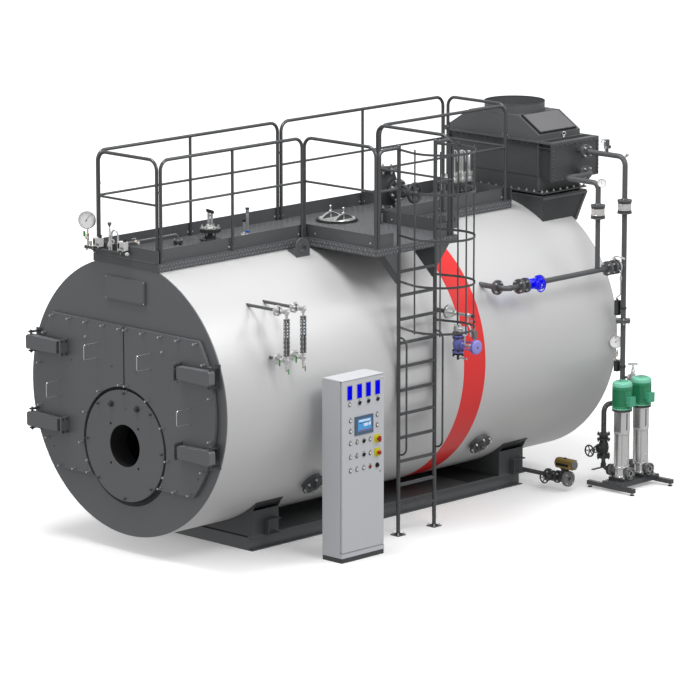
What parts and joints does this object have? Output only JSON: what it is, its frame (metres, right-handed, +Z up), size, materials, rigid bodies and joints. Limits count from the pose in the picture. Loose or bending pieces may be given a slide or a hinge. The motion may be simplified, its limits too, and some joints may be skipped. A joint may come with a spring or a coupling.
{
  "type": "industrial steam boiler",
  "caption": "Horizontal fire-tube steam boiler with round front doors, economizer, feed pumps, control cabinet, railed roof deck, landing and caged ladder.",
  "frame": {"origin": "on the floor, under the middle of the boiler shell, at the underside of the skid's middle cross member", "axes": "+Z up, +Y from the front doors to the rear, +X towards the ladder and the control cabinet"},
  "size_m": [3.7529, 6.7555, 4.3125],
  "materials": {
    "silver_cladding": "smooth, soft sheen, one red painted band",
    "bare_steel": "mill finish",
    "anthracite_paint": "satin",
    "plate_steel": "satin",
    "fitting_steel": "satin",
    "cast_fitting": "matt",
    "violet_paint": "satin",
    "blue_paint": "satin",
    "green_paint": "satin",
    "gold_anodised": "anodised",
    "cabinet_grey": "fine texture"
  },
  "bodies": {
    "boiler": {"shell_jacket": "silver_cladding", "pressure_shell": "bare_steel", "front_tube_plate": "bare_steel", "rear_tube_plate": "bare_steel", "furnace_tube": "bare_steel", "rear_plate": "silver_cladding", "front_plate": "anthracite_paint", "burner_plate": "anthracite_paint", "name_plate": "plate_steel", "hinge_brackets": "anthracite_paint", "skid": "anthracite_paint", "front_saddle": "anthracite_paint", "rear_saddle": "anthracite_paint", "belly_plate": "anthracite_paint", "deck": "anthracite_paint", "landing": "anthracite_paint", "ladder": "anthracite_paint", "ladder_cage": "anthracite_paint", "left_railing": "anthracite_paint", "right_front_railing": "anthracite_paint", "right_rear_railing": "anthracite_paint", "front_railing": "anthracite_paint", "rear_railing": "anthracite_paint", "landing_railings": "anthracite_paint", "level_probes": "fitting_steel", "manhole_lid": "fitting_steel", "steam_valve": "cast_fitting", "safety_valves": "fitting_steel", "gauge_pipe": "anthracite_paint", "instrument_bar": "anthracite_paint", "level_gauges": "anthracite_paint", "surface_valve": "violet_paint", "hand_hole_covers": "cast_fitting", "economizer_support": "anthracite_paint", "economizer_casing": "anthracite_paint", "economizer_covers": "anthracite_paint", "economizer_hood": "anthracite_paint", "flue_stub": "anthracite_paint", "economizer_inlet_pipe": "anthracite_paint", "economizer_outlet_pipe": "anthracite_paint", "check_valves": "fitting_steel", "feed_riser": "anthracite_paint", "feed_line": "anthracite_paint", "feed_elbow": "anthracite_paint", "feed_valve": "blue_paint", "pump_base": "anthracite_paint", "pumps": "fitting_steel", "pump_motors": "green_paint", "pump_pipes": "anthracite_paint", "blowdown_pipe": "anthracite_paint", "blowdown_valve": "cast_fitting", "blowdown_actuator": "gold_anodised", "cabinet_body": "cabinet_grey"},
    "left_door_body": {"left_door": "anthracite_paint"},
    "right_door_body": {"right_door": "anthracite_paint"},
    "cabinet_door_body": {"cabinet_door": "cabinet_grey"},
    "steam_wheel_body": {"steam_valve_wheel": "cast_fitting"},
    "feed_wheel_body": {"feed_valve_wheel": "cast_fitting"},
    "pump_wheel_body": {"pump_valve_wheel": "cast_fitting"},
    "blowdown_wheel_body": {"blowdown_valve_wheel": "cast_fitting"}
  },
  "joints": [
    {"name": "left_door_hinge", "type": "hinge", "parent": "boiler", "child": "left_door_body", "pos_m": [-1.385, -3.22, 1.705], "axis": [0, 0, 1], "range_deg": [-110, 0]},
    {"name": "right_door_hinge", "type": "hinge", "parent": "boiler", "child": "right_door_body", "pos_m": [1.385, -3.22, 1.705], "axis": [0, 0, 1], "range_deg": [0, 110]},
    {"name": "cabinet_door_hinge", "type": "hinge", "parent": "boiler", "child": "cabinet_door_body", "pos_m": [1.955, -1.844, 1.036], "axis": [0, 0, 1], "range_deg": [-120, 0]},
    {"name": "steam_valve_turn", "type": "hinge", "parent": "boiler", "child": "steam_wheel_body", "pos_m": [0.42, 0.885, 3.458], "axis": [1, 0, 0], "continuous": true},
    {"name": "feed_valve_turn", "type": "hinge", "parent": "boiler", "child": "feed_wheel_body", "pos_m": [1.76, 1.503, 2.51], "axis": [1, 0, 0], "continuous": true},
    {"name": "pump_valve_turn", "type": "hinge", "parent": "boiler", "child": "pump_wheel_body", "pos_m": [1.6, 2.592, 0.44], "axis": [0, -1, 0], "continuous": true},
    {"name": "blowdown_valve_turn", "type": "hinge", "parent": "boiler", "child": "blowdown_wheel_body", "pos_m": [1.3, 2.1, 0.15], "axis": [0, -1, 0], "continuous": true}
  ]
}
